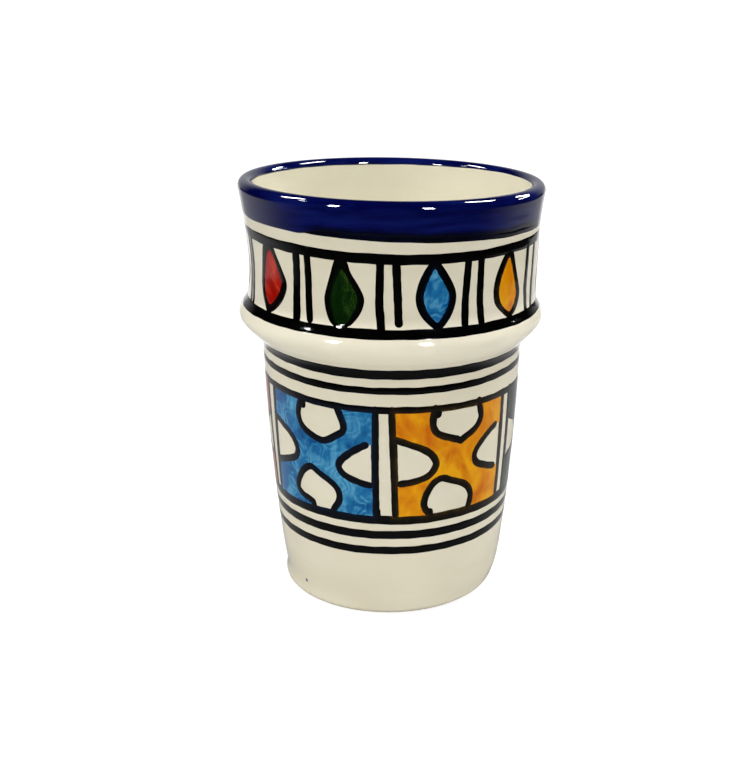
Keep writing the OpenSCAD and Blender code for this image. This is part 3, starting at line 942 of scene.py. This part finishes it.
def lip_edges():
    """Lower edge of the lip's dark band, lower edge of the cobalt, and how bare the black line is."""
    line_low, line_high = heights("lip_line")
    dark = line_low + DARK_RISE - DARK_TILT * np.sin(AZIMUTHS)
    dark = dark + DARK_WAVER * wander(3, AZIMUTHS, (5, 9, 14, 23))
    turn = np.degrees(np.mod(AZIMUTHS + math.pi, TURN) - math.pi)
    ahead = np.clip((turn - BARE_START[0]) / BARE_START[1], 0, 1)
    behind = np.clip((BARE_END[0] - turn) / BARE_END[1], 0, 1)
    bare = soft(ahead + behind)
    share = BARE_SHARE + BARE_WAVER * wander(4, AZIMUTHS, (4, 7, 13, 29))
    return dark, dark + bare * (line_high - line_low) * share, bare


def lip_inner_edge():
    """Where the coat ends on the inner round of the lip, lowest at the back and at the left."""
    edge = math.pi - INNER_SHORT - INNER_TILT * np.sin(AZIMUTHS)
    edge = edge - INNER_BACK * np.clip(np.cos(AZIMUTHS), -1, 0)
    return edge + INNER_WAVER * wander(5, AZIMUTHS, (3, 5, 8, 13, 21))


def coat_lift(thick, inwards, run):
    """How far a coat stands off the glaze at a distance inwards from its edge."""
    return thick * (1 - np.exp(-inwards / run)) - COAT_EDGE_SUNK


class CUP_OT_lip(bpy.types.Operator):
    """Dip the lip in cobalt over a black line"""
    bl_idname = "cup.lip"
    bl_label = "Cobalt lip"

    def execute(self, context):
        _, paint, _ = settings()
        dark, cobalt, bare = lip_edges()
        inner = lip_inner_edge()
        thick = paint.cobalt_t / MM
        rows = []
        depths = []
        for t in np.linspace(0, 1, 26) ** 1.6:
            z = cobalt + (form.lip_z - cobalt) * t
            rows.append(on_wall(AZIMUTHS, z, coat_lift(thick, z - cobalt, LOWER_RUN)))
            depths.append(bare * soft((cobalt + DARK_REACH - z) / DARK_FADE))
        for t in np.linspace(0, 1, 26)[1:]:
            bend = inner * t
            inwards = (inner - bend) * form.lip_r
            rows.append(on_lip(AZIMUTHS, bend, coat_lift(thick, inwards, INNER_RUN)))
        for t in np.linspace(0.95, 0, 8):
            rows.append(on_lip(AZIMUTHS, inner * t, -SUNK))
        rows.append(on_wall(AZIMUTHS, cobalt + 0.3, -SUNK))
        depths += [0 * AZIMUTHS] * (len(rows) - len(depths))
        tint = np.stack(depths, 1).reshape(-1, 1) * np.ones(3)
        coat = loft(np.stack(rows, 1), closed=True)
        build("cobalt_lip_coat", "cobalt_lip", [(*coat, tint)], "cobalt")
        line = band(dark + (1 - bare) * 0.5, cobalt + 0.7, paint.line_t / MM * 0.8)
        build("lip_line_mark", "lip_line", [(*line, LIP_TINT)], "black_line")
        return {"FINISHED"}


class CUP_OT_bands(bpy.types.Operator):
    """Paint the black lines that run round the cup"""
    bl_idname = "cup.bands"
    bl_label = "Painted lines"

    def execute(self, context):
        _, paint, _ = settings()
        panel_side = {"frame_line_top": -1, "frame_line_base": 1}
        for node, (_, _, _, extra, seed) in BANDS.items():
            low, high = heights(node)
            drift = band_drift(node, AZIMUTHS)
            top = high + extra / 2 + drift + EDGE_WAVER * wander(seed + 100, AZIMUTHS, (7, 13, 22, 37))
            base = low - extra / 2 + drift + EDGE_WAVER * wander(seed + 200, AZIMUTHS, (6, 11, 25, 41))
            tint = frame_tint(panel_side[node] * ACROSS) if node in panel_side else NO_TINT
            line = band(base, top, paint.line_t / MM)
            build(node + "_mark", node, [(*line, tint)], "black_line")
        return {"FINISHED"}


def frame_tint(near):
    """Colour that the panels' washes lend to a frame line; near is 1 at the panels' side, -1 away."""
    turn = np.mod(np.degrees(AZIMUTHS) - FIRST_STRIP, 360)
    ends = np.cumsum([0] + [span_of for _, span_of in PANELS])
    tones = np.zeros((AROUND, 3))
    for (name, _), low, high in zip(PANELS, ends, ends[1:]):
        tones[(turn > low + 3) & (turn < high - 3)] = TINTS[name]
    return line_tint(near, tones)


def band_drift(node, azimuth):
    """How far a line strays from level as it goes round."""
    shift, tilt, sag, _, seed = BANDS[node]
    side = np.sin(azimuth)
    return shift + tilt * side + sag * side ** 2 + LEVEL_WAVER * wander(seed, azimuth, (2, 3, 5))


def drop_place(i):
    """Distance round the collar of a drop's middle."""
    even = math.radians(FIRST_DROP + i * 360 / len(DROP_COLOURS)) * COLLAR_REF
    return even + DROP_SHIFTS.get(i, random.Random(40 + i).uniform(-0.8, 0.8))


def drop_shape(i):
    """Outer edge and heart of a drop; the unseen ones vary the seen ones."""
    if i in DROP_SHAPES:
        return [np.array(loop) for loop in DROP_SHAPES[i]]
    dice = random.Random(60 + i)
    outer, heart = DROP_SHAPES[dice.randrange(4)]
    flip = dice.choice((-1, 1))
    stretch = dice.uniform(0.95, 1.05)
    loops = []
    for loop in (outer, heart):
        points = np.array(loop) * (flip * stretch, 1)
        loops.append(points[::flip] + (0, dice.uniform(-0.2, 0.2)))
    return loops


# Middle that a drop's edges are measured from, and how far its outline laps over its heart
DROP_MIDDLE = np.array((0.2, 8.0))
DROP_LAP = 0.05
# Bars: usual distance from halfway between two drops, and heights of two places above the belt line
BAR_ASIDE = 2.2
BAR_MIDDLE = 6.5
BAR_LOW = 3


def drop_reach(i, turn):
    """How far a drop's outer edge and heart reach from its middle, in each direction."""
    reach = []
    for loop in drop_shape(i):
        edge = closed_path(loop, 400) - DROP_MIDDLE
        bearing = np.mod(np.arctan2(edge[:, 1], edge[:, 0]), TURN)
        order = np.argsort(bearing)
        reach.append(np.interp(turn, bearing[order], np.hypot(*edge.T)[order], period=TURN))
    return reach


class CUP_OT_drops(bpy.types.Operator):
    """Paint the outlined drops on the collar"""
    bl_idname = "cup.drops"
    bl_label = "Drops"

    def execute(self, context):
        _, paint, _ = settings()
        base = heights("belt_line")[1]
        outlines = []
        hearts = {name: [] for name in set(DROP_COLOURS)}
        turn = np.linspace(0, TURN, 120, endpoint=False)
        ray = np.column_stack([np.cos(turn), np.sin(turn)])
        for i, name in enumerate(DROP_COLOURS):
            shift = np.array((drop_place(i), base)) + DROP_MIDDLE
            outer, inner = drop_reach(i, turn)
            mid = (outer + inner) / 2
            half = (outer - inner) / 2 + DROP_LAP
            flat = shift + ray[:, None] * (mid[:, None] + half[:, None] * ACROSS)[..., None]
            sections = mark(flat[..., 0] / COLLAR_REF, flat[..., 1], paint.line_t / MM)
            tones = np.tile(np.array(TINTS[name]) * 0.5, (len(turn), 1))
            outlines.append((*loft(sections, closed=True), line_tint(-ACROSS, tones)))
            loop = shift + ray * (inner + 0.5 * half)[:, None]
            hearts[name].append(wash(loop, [], COLLAR_REF, paint.wash_t / MM, 0.8))
        build("drop_outline_marks", "drop_outlines", outlines, "black_line")
        for name in sorted(hearts):
            build(name + "_drop_washes", name + "_drops", hearts[name], name + "_paint", paint_finish(name))
        return {"FINISHED"}


class CUP_OT_bars(bpy.types.Operator):
    """Paint the pairs of upright bars between the drops"""
    bl_idname = "cup.bars"
    bl_label = "Collar bars"

    def execute(self, context):
        _, paint, _ = settings()
        width = paint.bar_w / MM
        base = heights("belt_line")[1]
        high = sum(heights("collar_line")) / 2
        bars = []
        for i in range(len(DROP_COLOURS)):
            there = drop_place((i + 1) % len(DROP_COLOURS))
            if i + 1 == len(DROP_COLOURS):
                there += TURN * COLLAR_REF
            half = (drop_place(i) + there) / 2
            top = high + band_drift("collar_line", half / COLLAR_REF)
            dice = random.Random(80 + i)
            guess = [(side * BAR_ASIDE + dice.uniform(-0.4, 0.4),
                      side * BAR_ASIDE + dice.uniform(-0.5, 0.5),
                      side * BAR_ASIDE + dice.uniform(-0.5, 0.5),
                      dice.choice((-0.6, -0.6, 0.3, 0.8))) for side in (-1, 1)]
            for k, (top_x, mid_x, low_x, end) in enumerate(BAR_SHAPES.get(i, guess)):
                points = ((half + top_x, top), (half + (top_x + mid_x) / 2, (2 * high + base) / 3),
                          (half + mid_x, base + BAR_MIDDLE), (half + (mid_x + low_x) / 2, base + BAR_LOW),
                          (half + low_x, base + end))
                wide = width + WIDE_BARS.get((i, k), 0.0)
                bars.append(stroke(points, wide, 300 + 2 * i + k, COLLAR_REF, paint.line_t / MM))
        build("collar_bar_marks", "collar_bars", bars, "black_line")
        return {"FINISHED"}


# How far the uprights lap over the frame lines at their top and bottom
UPRIGHT_LAP = (0.9, 1.0)
# Blot at the foot of the first strip: its ends from the strip's middle and the panels' base, and its width
FOOT_BLOT = ((-1.5, 1.7), (-1.4, -0.6))
BLOT_W = 1.3
# Width and thickness of uprights and short touches, as shares of an outline stroke's
UPRIGHT_SHARE = 0.95
TOUCH_SHARE = 0.9


def strip_place(i):
    """Distance round the wall of the middle of an ivory strip."""
    spans = [span_of for _, span_of in PANELS]
    return math.radians(FIRST_STRIP + sum(spans[:i])) * WALL_REF


def panel_lines():
    """Base and top of the painted panels."""
    return heights("frame_line_base")[1], heights("frame_line_top")[0]


def upright_line(i, side):
    """Top and bottom places of the upright beside a strip."""
    i = i % len(PANELS)
    low, high = panel_lines()
    dice = random.Random(120 + 2 * i + side)
    shifts = UPRIGHT_SHIFTS.get((i, side), (dice.uniform(-0.5, 0.5), dice.uniform(-0.5, 0.5)))
    x = strip_place(i) + side * STRIP_TO_UPRIGHT
    return (x + shifts[0], high + UPRIGHT_LAP[0]), (x + shifts[1], low - UPRIGHT_LAP[1])


def panel_edges(i):
    """The two uprights that close a panel, left and right."""
    left = upright_line(i, 1)
    right = upright_line(i + 1, -1)
    if i + 1 == len(PANELS):
        right = tuple((x + TURN * WALL_REF, z) for x, z in right)
    return left, right


# Panels that face the camera, with their lobes and touches, and how far the hand set them aside
SEEN_PANELS = {0: (LOBES_B, TOUCHES_B), 5: (LOBES_A, TOUCHES_A)}
LOBE_SHIFTS = {0: 0.4, 5: 0.2}
# Width between the uprights that the lobes were drawn for
LOBE_SPAN = 35.0
# How far the lobes' cuts run past the uprights and the frame lines, and lean to the left at top and base
CUT_ASIDE = 3
CUT_OVER = 4
TOP_LEAN = 1.5
BASE_LEAN = 2


def panel_lobes(i):
    """Lobe strokes of a panel, in wall millimetres; the unseen panels vary the seen ones."""
    low, _ = panel_lines()
    span_mm = math.radians(PANELS[i][1]) * WALL_REF
    corner = (strip_place(i) + span_mm / 2 + LOBE_SHIFTS.get(i, 0.0), low)
    if i in SEEN_PANELS:
        return [[np.array(path) + corner for path in paths] for paths in SEEN_PANELS[i]]
    dice = random.Random(140 + i)
    fit = (span_mm - 2 * STRIP_TO_UPRIGHT) / LOBE_SPAN
    lobes = []
    for shape in (LOBES_A, LOBES_B)[i % 2]:
        points = np.array(shape) * (fit, 1) + (dice.uniform(-0.5, 0.5), dice.uniform(-0.4, 0.4))
        points[1:-1] += [[dice.uniform(-0.2, 0.2), dice.uniform(-0.2, 0.2)] for _ in points[1:-1]]
        lobes.append(points + corner)
    return lobes, []


def panel_field(edges, shapes):
    """Rim of a panel's colour field between its uprights, and the cuts that its lobes leave bare."""
    (left_top, left_base), (right_top, right_base) = edges
    low, high = panel_lines()
    far_l = min(left_top[0], left_base[0]) - CUT_ASIDE
    far_r = max(right_top[0], right_base[0]) + CUT_ASIDE
    top_l, left_l, right_l, base_l = [brush_path(shape) for shape in shapes]
    cuts = [
        np.vstack([top_l, (top_l[-1][0], high + CUT_OVER), (top_l[0][0] - TOP_LEAN, high + CUT_OVER)]),
        np.vstack([(far_l, left_l[0][1]), left_l, (far_l, left_l[-1][1])]),
        np.vstack([(far_r, right_l[0][1]), right_l, (far_r, right_l[-1][1])]),
        np.vstack([base_l, (base_l[-1][0], low - CUT_OVER), (base_l[0][0] - BASE_LEAN, low - CUT_OVER)]),
    ]
    corners = (left_base, left_top, right_top, right_base, left_base)
    sides = [brush_path(pair, 1.0)[:-1] for pair in zip(corners, corners[1:])]
    return np.vstack(sides), cuts


class CUP_OT_panels(bpy.types.Operator):
    """Paint the panels: uprights, lobe outlines and colour fields"""
    bl_idname = "cup.panels"
    bl_label = "Panels"

    def execute(self, context):
        _, paint, _ = settings()
        line_t = paint.line_t / MM
        width = paint.stroke_w / MM
        low, _ = panel_lines()
        blot = np.array(FOOT_BLOT) + (strip_place(0), low)
        uprights = [stroke(blot, BLOT_W, 480, WALL_REF, line_t * TOUCH_SHARE)]
        lobes = []
        fields = {name: [] for name, _ in PANELS}
        for i, (name, _) in enumerate(PANELS):
            before = PANELS[i - 1][0]
            for side, tint in ((-1, TINTS[before]), (1, TINTS[name])):
                top, base = upright_line(i, side)
                bend = random.Random(160 + 2 * i + side).uniform(-0.25, 0.25)
                mid = ((top[0] + base[0]) / 2 + bend, (top[1] + base[1]) / 2)
                uprights.append(stroke((top, mid, base), width * UPRIGHT_SHARE, 500 + 2 * i + side,
                                       WALL_REF, line_t * UPRIGHT_SHARE, tint, side))
            shapes, touches = panel_lobes(i)
            for k, (shape, side) in enumerate(zip(shapes, WASH_SIDES)):
                lobes.append(stroke(shape, width, 600 + 4 * i + k, WALL_REF, line_t, TINTS[name], side))
            for k, touch in enumerate(touches):
                lobes.append(stroke(touch, width * TOUCH_SHARE, 700 + 4 * i + k, WALL_REF,
                                    line_t * TOUCH_SHARE))
            rim, cuts = panel_field(panel_edges(i), shapes)
            fields[name].append(wash(rim, cuts, WALL_REF, paint.wash_t / MM))
        build("panel_upright_marks", "panel_uprights", uprights, "black_line")
        build("lobe_outline_marks", "lobe_outlines", lobes, "black_line")
        for name in sorted(fields):
            build(name + "_panel_washes", name + "_panels", fields[name], name + "_paint",
                  paint_finish(name))
        return {"FINISHED"}


# Floor: half its width and the reach of its pale part in metres, and its tones far off and under the shadow
FLOOR_HALF = 3.0
PALE_REACH = (0.14, 0.4)
FAR_TONE = (0.3, 0.3, 0.3, 1)
SHADOW_TONE = (0.42, 0.42, 0.42, 1)
WHITE = (1, 1, 1, 1)
# The floor in the gloss, from dim in front of the cup to bright behind: runs in metres, and dim shares
CLOSE_REACH = (0.17, 0.23)
CLOSE_RUN = (-0.05, 0.04)
CLOSE_DIM = 0.25
FAR_RUN = (-0.16, 0.14)
FAR_DIM = 0.04
# Where that floor ends at either side of a line to the left of the axis, in metres
SIDE_SHIFT = 0.03
SIDE_RUN = (0.375, 0.415)
# White backdrop in the gloss: slope of its sides, and metres behind the axis at which it starts
BACKDROP_SLANT = (0.45, 0.72)
BACKDROP_RUN = (0.02, 0.05)


def floor_mirror(tree, away):
    """The floor as the glaze reflects it, running into the white backdrop behind the cup."""
    _, _, stage = settings()
    bright = stage.floor_gloss
    split = add(tree, "SeparateXYZ", Vector=add(tree, "TexCoord").outputs["Object"])
    x = split.outputs["X"]
    y = split.outputs["Y"]
    close = ease(tree, y, CLOSE_RUN, CLOSE_DIM * bright, bright)
    far = ease(tree, y, FAR_RUN, FAR_DIM * bright, bright)
    aside = sum_up(tree, "ABSOLUTE", sum_up(tree, "ADD", x, SIDE_SHIFT))
    far = sum_up(tree, "MULTIPLY", far, ease(tree, aside, SIDE_RUN, 1.0, FAR_DIM))
    room = blend_in(tree, ease(tree, away, CLOSE_REACH), close, far)
    slant = sum_up(tree, "DIVIDE", sum_up(tree, "ABSOLUTE", x), sum_up(tree, "MAXIMUM", y, 0.001))
    wedge = ease(tree, slant, BACKDROP_SLANT, 1.0, 0.0)
    backdrop = sum_up(tree, "MULTIPLY", wedge, ease(tree, y, BACKDROP_RUN))
    return add(tree, "Emission", Color=blend_in(tree, backdrop, room, WHITE), Strength=1.0)


def stage_floor():
    """Pale floor that keeps the cup's shadow and shows white to the camera."""
    _, _, stage = settings()
    mesh = bpy.data.meshes.new("floor")
    corners = [(x * FLOOR_HALF, y * FLOOR_HALF, 0) for x, y in ((-1, -1), (1, -1), (1, 1), (-1, 1))]
    mesh.from_pydata(corners, [], [(0, 1, 2, 3)])
    floor = bpy.data.objects.new("floor", mesh)
    bpy.context.scene.collection.objects.link(floor)
    finish = bpy.data.materials.new("pale_floor")
    finish.use_nodes = True
    tree = finish.node_tree
    tree.nodes.clear()
    tone = tuple(stage.floor_tone)
    pale = ramp(tree, grain(tree, 6, 2), (0.3, shade(tone, 0.97)), (0.7, tone))
    where = add(tree, "TexCoord").outputs["Object"]
    away = add(tree, "VectorMath", {"operation": "LENGTH"}, Vector=where).outputs["Value"]
    near = ease(tree, away, PALE_REACH, 1.0, 0.0)
    bounce = add(tree, "BsdfDiffuse", Color=blend_in(tree, near, FAR_TONE, pale))
    shadow = add(tree, "BsdfDiffuse", Color=SHADOW_TONE)
    glow = add(tree, "Emission", Color=WHITE, Strength=stage.floor_glow)
    seen = add(tree, "AddShader")
    plug(tree, seen.inputs[0], shadow.outputs[0])
    plug(tree, seen.inputs[1], glow.outputs[0])
    path = add(tree, "LightPath")
    unseen = either(tree, path.outputs["Is Glossy Ray"], bounce, floor_mirror(tree, away))
    last = either(tree, path.outputs["Is Camera Ray"], unseen, seen)
    plug(tree, add(tree, "OutputMaterial").inputs["Surface"], last.outputs[0])
    mesh.materials.append(finish)


# Studio: shares of the dome's light at the horizon and overhead, and its tone
DOME_SHARES = (0.25, 2.0)
DOME_TONE = (1, 0.99, 0.97, 1)
# The studio in the gloss: where it is lit behind the cup and up to which height, and its tones
LIT_BEHIND = (0.6, 0.95)
LIT_UP_TO = (0.3, 0.65)
GLOSS_DARK = (0.004, 0.004, 0.004, 1)
GLOSS_LIT = (0.5, 0.5, 0.5, 1)


def stage_world():
    """Even studio light, white to the camera and bright behind the cup in its gloss."""
    _, _, stage = settings()
    world = bpy.data.worlds.new("studio")
    bpy.context.scene.world = world
    world.use_nodes = True
    tree = world.node_tree
    tree.nodes.clear()
    split = add(tree, "SeparateXYZ", Vector=add(tree, "TexCoord").outputs["Generated"])
    low, high = [share * stage.dome for share in DOME_SHARES]
    even = add(tree, "Background", Color=DOME_TONE, Strength=span(tree, split.outputs["Z"], low, high))
    below = ease(tree, split.outputs["Z"], LIT_UP_TO, 1.0, 0.0)
    amount = sum_up(tree, "MULTIPLY", ease(tree, split.outputs["Y"], LIT_BEHIND), below)
    lit = ramp(tree, amount, (0.0, GLOSS_DARK), (1.0, GLOSS_LIT))
    gloss = add(tree, "Background", Color=lit, Strength=1.0)
    white = add(tree, "Background", Color=WHITE, Strength=1.0)
    path = add(tree, "LightPath")
    unseen = either(tree, path.outputs["Is Glossy Ray"], even, gloss)
    seen = sum_up(tree, "MAXIMUM", path.outputs["Is Camera Ray"], path.outputs["Is Transmission Ray"])
    last = either(tree, seen, unseen, white)
    plug(tree, add(tree, "OutputWorld").inputs["Surface"], last.outputs[0])


# Soft lamps round the cup: azimuth and elevation in degrees, and share of the set power
LAMPS = ((-92.0, 36.0, 1.1), (-46.0, 24.0, 1.0), (25.0, 26.0, 1.0), (110.0, 55.0, 1.1), (115.0, 17.0, 1.2))
LAMP_SIZE = (0.18, 0.11)
# Bright panes that glint on the glaze: azimuth and elevation in degrees, width and height in metres
PANES = (
    (-103.0, 49.0, 0.12, 0.24), (-42.5, 24.0, 0.12, 0.26), (27.0, 26.4, 0.12, 0.26),
    (113.0, 55.0, 0.12, 0.24), (129.0, 31.0, 0.12, 0.2), (117.0, 21.3, 0.3, 0.02),
    (-76.0, 40.0, 0.1, 0.025))


def stage_lamp(name, azimuth, elevation, size, power):
    """One oblong lamp a metre from the cup, aimed at it."""
    _, _, stage = settings()
    data = bpy.data.lights.new(name, "AREA")
    data.shape = "RECTANGLE"
    data.size, data.size_y = size
    data.energy = power
    lamp = bpy.data.objects.new(name, data)
    a, e = math.radians(azimuth), math.radians(elevation)
    away = Vector((math.sin(a) * math.cos(e), -math.cos(a) * math.cos(e), math.sin(e)))
    lamp.location = Vector((0, 0, stage.aim_height)) + away
    lamp.rotation_euler = away.to_track_quat("Z", "Y").to_euler()
    lamp.visible_camera = False
    bpy.context.scene.collection.objects.link(lamp)
    return lamp


def stage_lamps():
    """Soft lamps that the glaze doesn't mirror, and panes that it does."""
    _, _, stage = settings()
    for i, (azimuth, elevation, share) in enumerate(LAMPS):
        soft = stage_lamp(f"lamp_{i}", azimuth, elevation, LAMP_SIZE, stage.lamp * share)
        soft.visible_glossy = False
    for i, (azimuth, elevation, wide, tall) in enumerate(PANES):
        pane = stage_lamp(f"pane_{i}", azimuth, elevation, (wide, tall), stage.glint * wide * tall)
        pane.visible_diffuse = False


def stage_camera():
    """The camera at the picture's viewing angle."""
    _, _, stage = settings()
    data = bpy.data.cameras.new("camera")
    data.sensor_width = SENSOR
    data.lens = stage.focal_px * SENSOR / FRAME_H
    data.shift_x = (FRAME_W / 2 - stage.cup_x) / FRAME_H
    camera = bpy.data.objects.new("camera", data)
    aim = Vector((0, 0, stage.aim_height))
    away = Vector((0, -math.cos(stage.elevation), math.sin(stage.elevation)))
    camera.location = aim + away * stage.distance
    camera.rotation_euler = away.to_track_quat("Z", "Y").to_euler()
    bpy.context.scene.collection.objects.link(camera)
    bpy.context.scene.camera = camera


class CUP_OT_stage(bpy.types.Operator):
    """Set the floor, the light and the camera"""
    bl_idname = "cup.stage"
    bl_label = "Stage"

    def execute(self, context):
        stage_floor()
        stage_world()
        stage_lamps()
        stage_camera()
        context.scene.view_settings.view_transform = "Standard"
        return {"FINISHED"}


class CUP_PT_sidebar(bpy.types.Panel):
    """Lists the cup's pieces and its settings"""
    bl_idname = "CUP_PT_sidebar"
    bl_label = "Painted cup"
    bl_space_type = "VIEW_3D"
    bl_region_type = "UI"
    bl_category = "Cup"

    def draw(self, context):
        for maker in MAKERS:
            self.layout.operator(maker.bl_idname)
        for group in (context.scene.cup_form, context.scene.cup_paint, context.scene.cup_stage):
            box = self.layout.box()
            for key in group.__annotations__:
                box.prop(group, key)


MAKERS = (CUP_OT_clay, CUP_OT_glaze, CUP_OT_lip, CUP_OT_bands, CUP_OT_drops, CUP_OT_bars, CUP_OT_panels,
          CUP_OT_stage)
GROUPS = (("cup_form", CupForm), ("cup_paint", CupPaint), ("cup_stage", CupStage))


def register():
    for name, group in GROUPS:
        bpy.utils.register_class(group)
        setattr(bpy.types.Scene, name, bpy.props.PointerProperty(type=group))
    for maker in MAKERS:
        bpy.utils.register_class(maker)
    bpy.utils.register_class(CUP_PT_sidebar)


def unregister():
    bpy.utils.unregister_class(CUP_PT_sidebar)
    for maker in reversed(MAKERS):
        bpy.utils.unregister_class(maker)
    for name, group in reversed(GROUPS):
        delattr(bpy.types.Scene, name)
        bpy.utils.unregister_class(group)


def main():
    register()
    bpy.ops.cup.clay()
    bpy.ops.cup.glaze()
    bpy.ops.cup.lip()
    bpy.ops.cup.bands()
    bpy.ops.cup.drops()
    bpy.ops.cup.bars()
    bpy.ops.cup.panels()
    bpy.ops.cup.stage()


if __name__ == "__main__":
    main()
